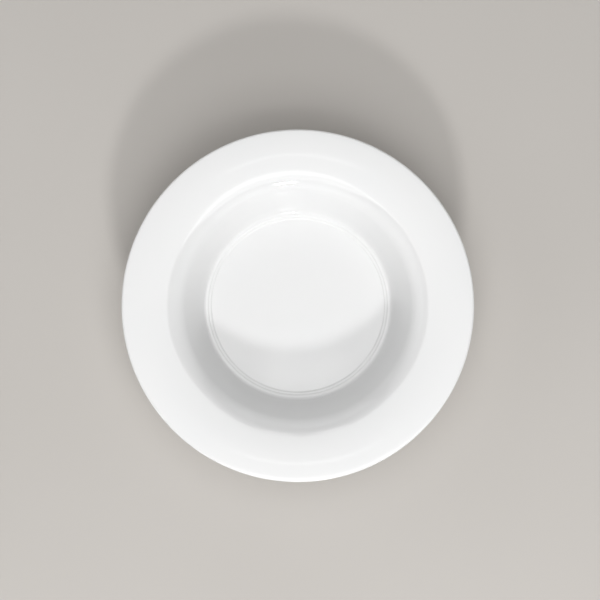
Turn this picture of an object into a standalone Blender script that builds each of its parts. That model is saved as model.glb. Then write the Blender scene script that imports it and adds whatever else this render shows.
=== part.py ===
"""A deep, wide-rimmed porcelain dinner plate: one turned body and the glaze fired onto it.

The plate stands on its foot ring, with the origin at the centre of the circle that the foot stands on
and +Z up. Each piece is a profile turned round Z. A profile is a list of (radius, height) points, and
its material lies on the right-hand side of the direction of travel.
"""

import math

import bmesh
import bpy
from mathutils import Vector

MM = 0.001
FULL_TURN = 2 * math.pi
SEGMENTS = 48  # round the plate: a multiple of four, so that it measures its full diameter on X and Y

# The glazed plate's outer size
RIM_RADIUS = 125.0 * MM
LIP_ROUND = 1.5 * MM  # radius of the rounded edge, half of the lip's thickness
LIP_SLOPE = math.radians(-4)  # the rim falls a little towards its lip
RIM_SLOPE = math.radians(14)  # where it leaves the shoulder

# The well
SHOULDER_RADIUS = 93.2 * MM  # where the shoulder ends and the rim begins
SHOULDER_ROUND = 18.5 * MM
FLANK_SLOPE = math.radians(65)
FLANK_ROUND = 50.0 * MM  # the flank steepens gently from its start before it runs straight
FLANK_START_SLOPE = math.radians(58)
WALL_FOOT_ROUND = 3.0 * MM
WALL_FOOT_SLOPE = math.radians(8)
FLOOR_RADIUS = 63.0 * MM
FLOOR_HEIGHT = 9.0 * MM  # of the floor's edge above the table
FLOOR_DISH = 0.3 * MM  # how far the floor's middle lies below its edge
RING_COUNT = 2  # the fine steps that frame the floor
RING_RISE = 0.45 * MM
RING_RISER = 0.9 * MM  # width of a step's slope
RING_TREAD = 1.1 * MM  # width of its flat

# Wall thickness, measured square to the face
THICKNESS_AT_FOOT = 4.4 * MM
THICKNESS_AT_LIP = 2 * LIP_ROUND

# The foot ring, with its glaze. Its outer side stands under the foot of the wall.
FOOT_WIDTH = 5.6 * MM
FOOT_FILLET = 2.0 * MM
RECESS_HEIGHT = 4.2 * MM  # of the underside within the foot ring
GLAZE_STOP = 1.2 * MM  # the glaze is wiped off below this height
FOOT_ROUND = 0.6 * MM

# The coats
GLAZE = 0.3 * MM
CLEARANCE = 0.3 * MM  # between the body and its glaze
BODY_INSET = GLAZE + CLEARANCE

PORCELAIN = (0.86, 0.85, 0.82, 1.0)
WHITE_GLAZE = (0.93, 0.93, 0.92, 1.0)


def add_arc(profile, radius, start, end, steps):
    """Carries a profile on along an arc that turns its direction from start to end, in radians."""
    bend = math.copysign(radius, end - start)
    origin = profile[-1]
    for step in range(1, steps + 1):
        turned = start + (end - start) * step / steps
        across = bend * (math.sin(turned) - math.sin(start))
        up = bend * (math.cos(start) - math.cos(turned))
        profile.append(origin + Vector((across, up)))


def well_profile():
    """The floor, from the axis out to the wall, with the fine rings at its edge."""
    middle_height = FLOOR_HEIGHT - FLOOR_DISH
    halfway_height = middle_height + FLOOR_DISH / 4
    profile = [
        Vector((0.0, middle_height)),
        Vector((FLOOR_RADIUS / 2, halfway_height)),
        Vector((FLOOR_RADIUS, FLOOR_HEIGHT)),
    ]
    for _ in range(RING_COUNT):
        profile.append(profile[-1] + Vector((RING_RISER, RING_RISE)))
        profile.append(profile[-1] + Vector((RING_TREAD, 0.0)))
    return profile


def wall_profile(start):
    """The wall and the rim, from the floor's last ring to the lip."""
    foot_span = WALL_FOOT_ROUND * (math.sin(FLANK_START_SLOPE) - math.sin(WALL_FOOT_SLOPE))
    curved_span = FLANK_ROUND * (math.sin(FLANK_SLOPE) - math.sin(FLANK_START_SLOPE))
    shoulder_span = SHOULDER_ROUND * (math.sin(FLANK_SLOPE) - math.sin(RIM_SLOPE))
    straight_span = SHOULDER_RADIUS - start.x - foot_span - curved_span - shoulder_span
    lip_start = RIM_RADIUS - LIP_ROUND * (1 + math.sin(LIP_SLOPE))
    rim_round = (lip_start - SHOULDER_RADIUS) / (math.sin(RIM_SLOPE) - math.sin(LIP_SLOPE))

    profile = [start]
    add_arc(profile, WALL_FOOT_ROUND, WALL_FOOT_SLOPE, FLANK_START_SLOPE, 4)
    add_arc(profile, FLANK_ROUND, FLANK_START_SLOPE, FLANK_SLOPE, 2)
    profile.append(profile[-1] + Vector((straight_span, straight_span * math.tan(FLANK_SLOPE))))
    add_arc(profile, SHOULDER_ROUND, FLANK_SLOPE, RIM_SLOPE, 5)
    add_arc(profile, rim_round, RIM_SLOPE, LIP_SLOPE, 4)
    return profile


def right_of(profile, index):
    """The vector that moves a point of the profile one unit into the material, square to its sides."""
    sides = []
    for first, second in ((index - 1, index), (index, index + 1)):
        if 0 <= first and second < len(profile):
            along = (profile[second] - profile[first]).normalized()
            sides.append(Vector((along.y, -along.x)))
    if len(sides) == 1:
        return sides[0]
    return (sides[0] + sides[1]) / (1 + sides[0].dot(sides[1]))


def inset(profile, depth):
    """The profile moved into the material by depth. A point on the axis stays on it."""
    moved = []
    for index, point in enumerate(profile):
        shifted = point + right_of(profile, index) * depth
        moved.append(Vector((0.0, shifted.y)) if point.x == 0 else shifted)
    return moved


def back_profile(wall):
    """The underside of the wall and the rim, from the wall's foot to the lip, thinning on the way."""
    square_to_foot = Vector((math.sin(WALL_FOOT_SLOPE), -math.cos(WALL_FOOT_SLOPE)))
    back = [wall[0] + square_to_foot * THICKNESS_AT_FOOT]
    for index in range(1, len(wall)):
        outward = (wall[index].x - wall[0].x) / (wall[-1].x - wall[0].x)
        thickness = THICKNESS_AT_FOOT + (THICKNESS_AT_LIP - THICKNESS_AT_FOOT) * outward
        back.append(wall[index] + right_of(wall, index) * thickness)
    return back


def outside_profile():
    """The glazed surface from the middle of the floor, over the lip and down the back to the foot."""
    floor = well_profile()
    wall = wall_profile(floor[-1])
    profile = floor + wall[1:]
    add_arc(profile, LIP_ROUND, LIP_SLOPE, -math.pi / 2, 3)
    add_arc(profile, LIP_ROUND, -math.pi / 2, LIP_SLOPE - math.pi, 3)
    profile += reversed(back_profile(wall)[:-1])
    add_arc(profile, FOOT_FILLET, math.pi + WALL_FOOT_SLOPE, 1.5 * math.pi, 3)
    profile.append(Vector((profile[-1].x, GLAZE_STOP)))
    return profile


def recess_profile(foot_inner):
    """The glazed surface within the foot ring, from the glaze's edge up to the axis."""
    profile = [
        Vector((foot_inner, GLAZE_STOP)),
        Vector((foot_inner, RECESS_HEIGHT - FOOT_FILLET)),
    ]
    add_arc(profile, FOOT_FILLET, math.pi / 2, math.pi, 3)
    profile.append(Vector((foot_inner / 2, RECESS_HEIGHT - FLOOR_DISH * 3 / 4)))
    profile.append(Vector((0.0, RECESS_HEIGHT - FLOOR_DISH)))
    return profile


def bare_foot_profile(outer, inner):
    """The bare foot that the plate stands on, from its outer side to its inner one."""
    profile = [Vector((outer, FOOT_ROUND))]
    add_arc(profile, FOOT_ROUND, -math.pi / 2, -math.pi, 2)
    profile.append(Vector((inner + FOOT_ROUND, 0.0)))
    add_arc(profile, FOOT_ROUND, -math.pi, -1.5 * math.pi, 2)
    return profile


def turn(name, profile, material):
    """Turns a profile that starts and ends on the axis into one closed object."""
    mesh = bpy.data.meshes.new(name)
    shape = bmesh.new()
    points = [shape.verts.new((point.x, 0.0, point.y)) for point in profile]
    edges = [shape.edges.new(pair) for pair in zip(points, points[1:])]
    bmesh.ops.spin(
        shape,
        geom=points + edges,
        cent=(0, 0, 0),
        axis=(0, 0, 1),
        angle=FULL_TURN,
        steps=SEGMENTS,
        use_duplicate=False,
    )
    bmesh.ops.remove_doubles(shape, verts=shape.verts, dist=0.001 * MM)
    bmesh.ops.recalc_face_normals(shape, faces=shape.faces)
    shape.to_mesh(mesh)
    shape.free()
    mesh.shade_smooth()
    mesh.set_sharp_from_angle(angle=math.radians(40))
    mesh.materials.append(material)
    piece = bpy.data.objects.new(name, mesh)
    bpy.context.scene.collection.objects.link(piece)
    return piece


def surface(name, colour, roughness):
    material = bpy.data.materials.new(name)
    material.use_nodes = True
    shader = material.node_tree.nodes["Principled BSDF"]
    shader.inputs["Base Color"].default_value = colour
    shader.inputs["Roughness"].default_value = roughness
    shader.inputs["Metallic"].default_value = 0.0
    return material


def main():
    for leftover in list(bpy.data.objects):
        bpy.data.objects.remove(leftover)

    outside = outside_profile()
    recess = recess_profile(outside[-1].x - FOOT_WIDTH)
    body_face = inset(outside, BODY_INSET)
    body_base = inset(recess, BODY_INSET)
    bare_foot = bare_foot_profile(body_face[-1].x, body_base[0].x)
    outer_coat = outside + inset(outside, GLAZE)[::-1]
    base_coat = recess[::-1] + inset(recess, GLAZE)

    porcelain = surface("bare porcelain", PORCELAIN, 0.65)
    turn("porcelain_body", body_face + bare_foot + body_base, porcelain)
    turn("face_and_back_glaze", outer_coat, surface("white glaze", WHITE_GLAZE, 0.06))
    turn("base_glaze", base_coat, surface("white glaze on the base", WHITE_GLAZE, 0.08))


main()
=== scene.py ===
"""The looks of a deep, wide-rimmed porcelain plate: its turned body and the glaze fired onto it.

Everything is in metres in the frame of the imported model: Z is the axis that the plate is turned on, and
the plate stands on z = 0. A profile is a list of (radius, height) points with its material on the
right-hand side of the direction of travel, and each piece is a profile turned round Z.
"""

import math

import bpy
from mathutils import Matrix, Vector

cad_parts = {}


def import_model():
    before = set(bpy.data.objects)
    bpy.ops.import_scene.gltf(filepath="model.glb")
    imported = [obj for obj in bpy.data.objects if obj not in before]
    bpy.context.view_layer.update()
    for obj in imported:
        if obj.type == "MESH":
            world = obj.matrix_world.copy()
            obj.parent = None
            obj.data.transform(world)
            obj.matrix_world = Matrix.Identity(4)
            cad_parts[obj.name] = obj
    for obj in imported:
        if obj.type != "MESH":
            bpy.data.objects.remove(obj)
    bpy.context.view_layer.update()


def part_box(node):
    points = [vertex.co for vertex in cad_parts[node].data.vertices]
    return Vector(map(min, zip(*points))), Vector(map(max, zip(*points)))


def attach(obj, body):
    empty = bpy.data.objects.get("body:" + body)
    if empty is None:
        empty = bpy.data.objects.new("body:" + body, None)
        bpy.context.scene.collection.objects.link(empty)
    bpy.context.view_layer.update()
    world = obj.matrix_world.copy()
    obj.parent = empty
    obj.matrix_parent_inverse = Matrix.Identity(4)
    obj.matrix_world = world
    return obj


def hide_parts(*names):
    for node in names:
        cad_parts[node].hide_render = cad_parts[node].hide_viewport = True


MM = 0.001
FULL_TURN = 2 * math.pi
SEGMENTS = 160  # round the plate

# The rim's radius, the height and the glaze's lower edge come from the frame. The rest of the section
# repeats the model's dimensions, which the frame's boxes can't say.
LIP_ROUND = 1.5 * MM  # radius of the rounded edge, half of the lip's thickness
LIP_SLOPE = math.radians(-4)  # the rim falls a little towards its lip
RIM_SLOPE = math.radians(14)  # where it leaves the shoulder
SHOULDER_RADIUS = 93.2 * MM  # where the shoulder ends and the rim begins
SHOULDER_ROUND = 18.5 * MM
FLANK_SLOPE = math.radians(65)
FLANK_ROUND = 50.0 * MM  # the flank steepens gently from its start before it runs straight
FLANK_START_SLOPE = math.radians(58)
WALL_FOOT_ROUND = 3.0 * MM
WALL_FOOT_SLOPE = math.radians(8)
FLOOR_RADIUS = 63.0 * MM
FLOOR_HEIGHT = 9.0 * MM  # of the floor's edge above the table
FLOOR_DISH = 0.3 * MM  # how far the floor's middle lies below its edge
RING_COUNT = 2  # the fine steps that frame the floor
RING_RISE = 0.45 * MM
RING_RISER = 0.9 * MM  # width of a step's slope
RING_TREAD = 1.1 * MM  # width of its flat
THICKNESS_AT_FOOT = 4.4 * MM  # measured square to the face
THICKNESS_AT_LIP = 2 * LIP_ROUND
FOOT_WIDTH = 5.6 * MM
FOOT_FILLET = 2.0 * MM
RECESS_HEIGHT = 4.2 * MM  # of the underside within the foot ring
FOOT_ROUND = 0.6 * MM
GLAZE = 0.3 * MM

# Fine shape that the glaze and the kiln leave
BOND_GAP = 0.02 * MM  # the glaze is fused to the body, so that no gap shows between them
RING_SOFTNESS = 0.5 * MM  # the width over which the glaze rounds a ring's edge
BEAD = 0.08 * MM  # how far the glaze swells just above its lower edge
BEAD_HEIGHT = 1.1 * MM
EDGE_WANDER = 0.12 * MM  # how far that edge strays up and down
EDGE_REACH = 1.0 * MM  # how high up the foot the straying is felt
EDGE_WAVES = ((5, 0.0), (11, 2.0), (23, 0.0))  # waves round the edge, and their phase
WARP = 0.10 * MM  # how far the rim sags out of its plane
WARP_LOBES = ((2, 0.7, 0.6), (3, -1.1, 0.4))  # lobes round the rim, their phase and their share
CREASE = math.radians(50)  # a steeper edge than this stays sharp

# The glaze
WHITE = (0.72, 0.72, 0.718, 1.0)
POOLED = (0.70, 0.705, 0.707, 1.0)  # where the glaze lies a little thicker
GLAZE_IOR = 1.52
LONG_WAVE_DEPTH = 0.03 * MM
ORANGE_PEEL_DEPTH = 0.003 * MM
TURNING_PITCH = 1.6 * MM  # of the fine marks that turning leaves under the glaze of the base
TURNING_DEPTH = 0.01 * MM

# The bare foot
DARK_GRAIN = (0.80, 0.79, 0.755, 1.0)
LIGHT_GRAIN = (0.86, 0.85, 0.82, 1.0)
SCUFF_GREY = (0.58, 0.56, 0.53, 1.0)
GRAIN_DEPTH = 0.024 * MM

# The table top, the camera and the light
TABLE_HALF = 4.0
TABLE_DROP = 0.05 * MM  # a hair below the foot
TABLE_DARK = (0.475, 0.452, 0.425, 1.0)
TABLE_LIGHT = (0.495, 0.472, 0.445, 1.0)

CAMERA_HEIGHT = 1.2
CAMERA_AIM = Vector((1.56 * MM, 4.08 * MM))  # the point of the table under the camera
LENS = 97.6
SENSOR = 36.0

# Soft boxes: name, azimuth and elevation in degrees, distance, width and height in metres, watts
SOFT_BOXES = (
    ("overhead", 0, 90, 2.2, 2.0, 2.0, 25.0),
    ("window", -84.0, 31, 2.0, 0.26, 0.16, 17.5),
    ("front_fill", -85, 20, 2.0, 3.0, 1.3, 8.5),
    ("front_top", -80, 59, 2.0, 1.8, 1.0, 13.0),
    ("back_fill", 90, 16, 2.0, 3.0, 1.0, 9.5),
    ("back_pane_left", 103.5, 59, 2.0, 0.30, 0.07, 0.7),
    ("back_pane_right", 81.5, 59, 2.0, 0.23, 0.07, 0.4),
    ("left_fill", 180, 23, 2.0, 3.0, 1.5, 9.5),
    ("right_fill", 0, 20, 2.0, 3.0, 1.4, 4.2),
    ("ceiling_glow", -88, 86.7, 2.0, 0.12, 0.09, 0.045),
)

# The studio round the soft boxes: pale at the horizon, dim overhead
HORIZON = 0.55
SKY = 0.03
HORIZON_REACH = math.radians(20)  # how high the pale part reaches


def add_arc(profile, radius, start, end, steps):
    """Carries a profile on along an arc that turns its direction from start to end, in radians."""
    bend = math.copysign(radius, end - start)
    origin = profile[-1]
    for step in range(1, steps + 1):
        turned_to = start + (end - start) * step / steps
        across = bend * (math.sin(turned_to) - math.sin(start))
        up = bend * (math.cos(start) - math.cos(turned_to))
        profile.append(origin + Vector((across, up)))


def add_line(profile, end, steps):
    """Carries a profile on along a straight line."""
    start = profile[-1]
    for step in range(1, steps + 1):
        profile.append(start.lerp(end, step / steps))


def smooth_step(value):
    clamped = min(max(value, 0.0), 1.0)
    return clamped * clamped * (3 - 2 * clamped)


def floor_height(radius):
    """The floor's dish, then the fine rings, each a soft riser and a flat tread."""
    height = FLOOR_HEIGHT - FLOOR_DISH * (1 - min(radius / FLOOR_RADIUS, 1.0) ** 2)
    for ring in range(RING_COUNT):
        riser_start = FLOOR_RADIUS + ring * (RING_RISER + RING_TREAD) - RING_SOFTNESS / 2
        height += RING_RISE * smooth_step((radius - riser_start) / (RING_RISER + RING_SOFTNESS))
    return height


def floor_profile():
    """The floor from the axis to the foot of the wall, with its points close together on the rings."""
    plain_steps = 14
    plain_end = FLOOR_RADIUS - RING_SOFTNESS
    wall_foot = FLOOR_RADIUS + RING_COUNT * (RING_RISER + RING_TREAD)
    ring_steps = 14 * RING_COUNT
    radii = [plain_end * step / plain_steps for step in range(plain_steps)]
    radii += [plain_end + (wall_foot - plain_end) * step / ring_steps for step in range(ring_steps + 1)]
    return [Vector((radius, floor_height(radius))) for radius in radii]


def wall_profile(start, rim_radius):
    """The wall, the shoulder and the rim, from the last ring to the lip."""
    foot_span = WALL_FOOT_ROUND * (math.sin(FLANK_START_SLOPE) - math.sin(WALL_FOOT_SLOPE))
    curved_span = FLANK_ROUND * (math.sin(FLANK_SLOPE) - math.sin(FLANK_START_SLOPE))
    shoulder_span = SHOULDER_ROUND * (math.sin(FLANK_SLOPE) - math.sin(RIM_SLOPE))
    straight_span = SHOULDER_RADIUS - start.x - foot_span - curved_span - shoulder_span
    flank = Vector((straight_span, straight_span * math.tan(FLANK_SLOPE)))
    lip_start = rim_radius - LIP_ROUND * (1 + math.sin(LIP_SLOPE))
    rim_round = (lip_start - SHOULDER_RADIUS) / (math.sin(RIM_SLOPE) - math.sin(LIP_SLOPE))

    profile = [start]
    add_arc(profile, WALL_FOOT_ROUND, WALL_FOOT_SLOPE, FLANK_START_SLOPE, steps=10)
    add_arc(profile, FLANK_ROUND, FLANK_START_SLOPE, FLANK_SLOPE, steps=6)
    add_line(profile, profile[-1] + flank, steps=6)
    add_arc(profile, SHOULDER_ROUND, FLANK_SLOPE, RIM_SLOPE, steps=18)
    add_arc(profile, rim_round, RIM_SLOPE, LIP_SLOPE, steps=12)
    return profile


def right_of(profile, index):
    """The vector that moves a point of the profile one unit into the material, square to its sides."""
    sides = []
    for first, second in ((index - 1, index), (index, index + 1)):
        if 0 <= first and second < len(profile):
            along = (profile[second] - profile[first]).normalized()
            sides.append(Vector((along.y, -along.x)))
    if len(sides) == 1:
        return sides[0]
    return (sides[0] + sides[1]) / (1 + sides[0].dot(sides[1]))


def inset(profile, depth):
    """The profile moved into the material by depth. A point on the axis stays on it."""
    moved = []
    for index, point in enumerate(profile):
        shifted = point + right_of(profile, index) * depth
        moved.append(Vector((0.0, shifted.y)) if point.x == 0 else shifted)
    return moved


def back_profile(wall):
    """The underside of the wall and the rim, from the wall's foot to the lip, thinning on the way."""
    square_to_foot = Vector((math.sin(WALL_FOOT_SLOPE), -math.cos(WALL_FOOT_SLOPE)))
    back = [wall[0] + square_to_foot * THICKNESS_AT_FOOT]
    for index in range(1, len(wall)):
        outward = (wall[index].x - wall[0].x) / (wall[-1].x - wall[0].x)
        thickness = THICKNESS_AT_FOOT + (THICKNESS_AT_LIP - THICKNESS_AT_FOOT) * outward
        back.append(wall[index] + right_of(wall, index) * thickness)
    return back


def outside_profile(rim_radius, glaze_stop):
    """The glazed surface from the middle of the floor, over the lip and down the back to the foot."""
    floor = floor_profile()
    wall = wall_profile(floor[-1], rim_radius)
    profile = floor + wall[1:]
    add_arc(profile, LIP_ROUND, LIP_SLOPE, -math.pi / 2, steps=8)
    add_arc(profile, LIP_ROUND, -math.pi / 2, LIP_SLOPE - math.pi, steps=8)
    profile += reversed(back_profile(wall)[:-1])
    add_arc(profile, FOOT_FILLET, math.pi + WALL_FOOT_SLOPE, 1.5 * math.pi, steps=8)
    add_line(profile, Vector((profile[-1].x, glaze_stop)), steps=12)
    return profile


def recess_profile(foot_inner, glaze_stop):
    """The glazed surface within the foot ring, from the glaze's edge up to the axis."""
    profile = [Vector((foot_inner, glaze_stop))]
    add_line(profile, Vector((foot_inner, RECESS_HEIGHT - FOOT_FILLET)), steps=8)
    add_arc(profile, FOOT_FILLET, math.pi / 2, math.pi, steps=8)
    edge = profile[-1].x
    steps = 12
    for step in range(1, steps + 1):
        radius = edge * (1 - step / steps)
        dish = FLOOR_DISH * (1 - (radius / edge) ** 2)
        profile.append(Vector((radius, RECESS_HEIGHT - dish)))
    return profile


def bare_foot_profile(outer, inner):
    """The bare foot that the plate stands on, from its outer side to its inner one."""
    profile = [Vector((outer, FOOT_ROUND))]
    add_arc(profile, FOOT_ROUND, -math.pi / 2, -math.pi, steps=5)
    add_line(profile, Vector((inner + FOOT_ROUND, 0.0)), steps=4)
    add_arc(profile, FOOT_ROUND, -math.pi, -1.5 * math.pi, steps=5)
    return profile


def beaded(skin, glaze_stop):
    """The skin with the bead that the glaze forms just above the edge where it stops."""
    swollen = []
    for index, point in enumerate(skin):
        reach = (point.y - glaze_stop) / BEAD_HEIGHT
        # A parabola that starts and ends at zero and is as high as the bead halfway up
        swell = BEAD * 4 * reach * (1 - reach) if 0 < reach < 1 else 0.0
        swollen.append(point - right_of(skin, index) * swell)
    return swollen


def strayed(height, angle, glaze_stop):
    """The height of a point of the glaze once its lower edge strays as a sponge leaves it."""
    waves = sum(math.sin(count * angle + phase) for count, phase in EDGE_WAVES) / len(EDGE_WAVES)
    felt = 1 - smooth_step((height - glaze_stop) / EDGE_REACH)
    return height + EDGE_WANDER * felt * waves


def warped(point, height):
    """A point moved as the kiln moves it: the rim sags a little in lobes, and the foot stays flat."""
    angle = math.atan2(point.y, point.x)
    lobes = sum(share * math.cos(count * angle + phase) for count, phase, share in WARP_LOBES)
    sag = WARP * (1 - lobes) / 2
    return point - Vector((0.0, 0.0, sag * smooth_step(point.z / height)))


def turned(name, profile, height, glaze_stop=None):
    """Turns a profile that starts and ends on the axis into one closed, smooth piece.

    Where glaze_stop is given, the piece is a coat of glaze, and its lower edge strays.
    """
    vertices = []
    faces = []
    rings = []
    for point in profile:
        count = 1 if point.x == 0 else SEGMENTS
        rings.append(range(len(vertices), len(vertices) + count))
        for segment in range(count):
            angle = FULL_TURN * segment / SEGMENTS
            z = point.y if glaze_stop is None else strayed(point.y, angle, glaze_stop)
            place = Vector((point.x * math.cos(angle), point.x * math.sin(angle), z))
            vertices.append(warped(place, height))
    for first, second in zip(rings, rings[1:]):
        for segment in range(SEGMENTS):
            after = (segment + 1) % SEGMENTS
            if len(first) == 1:
                faces.append((first[0], second[segment], second[after]))
            elif len(second) == 1:
                faces.append((second[0], first[after], first[segment]))
            else:
                faces.append((first[segment], second[segment], second[after], first[after]))
    mesh = bpy.data.meshes.new(name)
    mesh.from_pydata(vertices, [], faces)
    mesh.validate()
    mesh.shade_smooth()
    mesh.set_sharp_from_angle(angle=CREASE)
    piece = bpy.data.objects.new(name, mesh)
    bpy.context.scene.collection.objects.link(piece)
    return piece


class Nodes:
    """A node tree with a shader in it, and short ways to add nodes and link them."""

    def __init__(self, tree):
        self.tree = tree

    def add(self, kind, **inputs):
        node = self.tree.nodes.new("ShaderNode" + kind)
        for key, value in inputs.items():
            self.feed(node, key.replace("_", " "), value)
        return node

    def feed(self, node, socket, value):
        if isinstance(value, bpy.types.NodeSocket):
            self.tree.links.new(value, node.inputs[socket])
        else:
            node.inputs[socket].default_value = value

    def math(self, operation, first, second=0.0):
        node = self.tree.nodes.new("ShaderNodeMath")
        node.operation = operation
        self.feed(node, 0, first)
        self.feed(node, 1, second)
        return node.outputs[0]

    def mapped(self, value, low, high, to_low=0.0, to_high=1.0):
        """The value, from low to high, spread over to_low to to_high and held within them."""
        node = self.add("MapRange", Value=value)
        node.inputs["From Min"].default_value = low
        node.inputs["From Max"].default_value = high
        node.inputs["To Min"].default_value = to_low
        node.inputs["To Max"].default_value = to_high
        return node.outputs[0]

    def noise(self, where, scale, detail=2.0, roughness=0.5):
        node = self.add("TexNoise", Vector=where, Scale=scale, Detail=detail, Roughness=roughness)
        return node.outputs[0]

    def blend(self, factor, first, second):
        """A mix of two colours. Its node has several sockets of one name, so they go by number here."""
        node = self.tree.nodes.new("ShaderNodeMix")
        node.data_type = "RGBA"
        self.feed(node, 0, factor)
        self.feed(node, 6, first)
        self.feed(node, 7, second)
        return node.outputs[2]

    def bump(self, height, distance, normal=None):
        node = self.add("Bump", Height=height, Strength=1.0, Distance=distance)
        if normal is not None:
            self.feed(node, "Normal", normal)
        return node.outputs[0]


def new_material(name):
    """A material with its nodes, its main shader and the place on the piece."""
    material = bpy.data.materials.new(name)
    material.use_nodes = True
    nodes = Nodes(material.node_tree)
    where = nodes.add("TexCoord").outputs["Object"]
    return material, nodes, material.node_tree.nodes["Principled BSDF"], where


def glaze_material(name, turning_marks):
    """White glossy glaze. It pools a little, rolls in long waves and has a very fine orange peel."""
    material, nodes, shader, where = new_material(name)

    pools = nodes.noise(where, scale=18.0, detail=3.0)
    pooling = nodes.mapped(pools, 0.35, 0.75, to_high=0.5)
    nodes.feed(shader, "Base Color", nodes.blend(pooling, WHITE, POOLED))

    haze = nodes.noise(where, scale=55.0, detail=4.0, roughness=0.6)
    nodes.feed(shader, "Roughness", nodes.mapped(haze, 0.3, 0.7, to_low=0.05, to_high=0.10))
    shader.inputs["IOR"].default_value = GLAZE_IOR

    long_waves = nodes.noise(where, scale=45.0)
    normal = nodes.bump(long_waves, LONG_WAVE_DEPTH)
    orange_peel = nodes.noise(where, scale=420.0, detail=1.0)
    normal = nodes.bump(orange_peel, ORANGE_PEEL_DEPTH, normal)
    if turning_marks:
        split = nodes.add("SeparateXYZ", Vector=where)
        across = nodes.math("POWER", split.outputs["X"], 2.0)
        along = nodes.math("POWER", split.outputs["Y"], 2.0)
        radius = nodes.math("SQRT", nodes.math("ADD", across, along))
        ripple = nodes.math("SINE", nodes.math("MULTIPLY", radius, FULL_TURN / TURNING_PITCH))
        normal = nodes.bump(ripple, TURNING_DEPTH, normal)
    nodes.feed(shader, "Normal", normal)
    return material


def bare_material():
    """The bare fired body: a dry, faintly warm white with a fine grain, greyed where it is ground."""
    material, nodes, shader, where = new_material("bare porcelain")
    grain = nodes.noise(where, scale=900.0, detail=3.0, roughness=0.7)
    scuffs = nodes.noise(where, scale=140.0, detail=4.0, roughness=0.65)
    clay = nodes.blend(nodes.mapped(grain, 0.3, 0.7), DARK_GRAIN, LIGHT_GRAIN)
    worn = nodes.blend(nodes.mapped(scuffs, 0.52, 0.72, to_high=0.45), clay, SCUFF_GREY)
    nodes.feed(shader, "Base Color", worn)
    nodes.feed(shader, "Roughness", nodes.mapped(scuffs, 0.3, 0.7, to_low=0.55, to_high=0.75))
    nodes.feed(shader, "Normal", nodes.bump(grain, GRAIN_DEPTH))
    return material


def table_top():
    """The plain pale table top that the plate stands on."""
    sides = ((-1, -1), (1, -1), (1, 1), (-1, 1))
    outline = [(x * TABLE_HALF, y * TABLE_HALF, -TABLE_DROP) for x, y in sides]
    mesh = bpy.data.meshes.new("table_top")
    mesh.from_pydata(outline, [], [(0, 1, 2, 3)])
    stage = bpy.data.objects.new("table_top", mesh)
    bpy.context.scene.collection.objects.link(stage)

    material, nodes, shader, where = new_material("table top")
    tone = nodes.mapped(nodes.noise(where, scale=3.0), 0.3, 0.7)
    nodes.feed(shader, "Base Color", nodes.blend(tone, TABLE_DARK, TABLE_LIGHT))
    shader.inputs["Roughness"].default_value = 0.9
    mesh.materials.append(material)


def soft_box(name, azimuth, elevation, distance, width, height, power):
    """A soft box that faces the plate. Azimuth turns from +X towards +Y."""
    data = bpy.data.lights.new(name, "AREA")
    data.shape = "RECTANGLE"
    data.size = width
    data.size_y = height
    data.energy = power
    light = bpy.data.objects.new(name, data)
    turn, rise = math.radians(azimuth), math.radians(elevation)
    direction = Vector((math.cos(turn) * math.cos(rise), math.sin(turn) * math.cos(rise), math.sin(rise)))
    light.location = direction * distance
    light.rotation_euler = direction.to_track_quat("Z", "Y").to_euler()
    bpy.context.scene.collection.objects.link(light)


def studio():
    """The dim room round the soft boxes, with the glow of a pale backdrop at the horizon."""
    world = bpy.data.worlds.new("studio")
    world.use_nodes = True
    nodes = Nodes(world.node_tree)
    background = world.node_tree.nodes["Background"]
    background.inputs["Color"].default_value = (1.0, 1.0, 1.0, 1.0)
    direction = nodes.add("SeparateXYZ", Vector=nodes.add("TexCoord").outputs["Generated"])
    reach = math.sin(HORIZON_REACH)
    nodes.feed(background, "Strength", nodes.mapped(direction.outputs["Z"], 0.0, reach, HORIZON, SKY))
    bpy.context.scene.world = world


def camera():
    data = bpy.data.cameras.new("camera")
    data.lens = LENS
    data.sensor_width = SENSOR
    data.clip_start = 0.01
    view = bpy.data.objects.new("camera", data)
    view.location = (CAMERA_AIM.x, CAMERA_AIM.y, CAMERA_HEIGHT)
    bpy.context.scene.collection.objects.link(view)
    bpy.context.scene.camera = view


def plate():
    """The plate's three pieces, each in place of its plain node."""
    coat_low, coat_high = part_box("face_and_back_glaze")
    rim_radius, height, glaze_stop = coat_high.x, coat_high.z, coat_low.z
    outside = outside_profile(rim_radius, glaze_stop)
    recess = recess_profile(outside[-1].x - FOOT_WIDTH, glaze_stop)
    body_face = inset(outside, GLAZE + BOND_GAP)
    body_base = inset(recess, GLAZE + BOND_GAP)
    bare_foot = bare_foot_profile(body_face[-1].x, body_base[0].x)
    coat_section = beaded(outside, glaze_stop) + inset(outside, GLAZE)[::-1]
    base_section = beaded(recess, glaze_stop)[::-1] + inset(recess, GLAZE)

    coat = turned("glaze_coat", coat_section, height, glaze_stop)
    coat.data.materials.append(glaze_material("white glaze", False))
    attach(coat, "root")
    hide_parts("face_and_back_glaze")

    base = turned("base_glaze_coat", base_section, height, glaze_stop)
    base.data.materials.append(glaze_material("white glaze on the base", True))
    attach(base, "root")
    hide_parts("base_glaze")

    body = turned("turned_body", body_face + bare_foot + body_base, height)
    body.data.materials.append(bare_material())
    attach(body, "root")
    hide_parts("porcelain_body")


def main():
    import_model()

    plate()
    table_top()
    for box in SOFT_BOXES:
        soft_box(*box)
    studio()
    camera()
    bpy.context.scene.view_settings.view_transform = "Standard"


main()
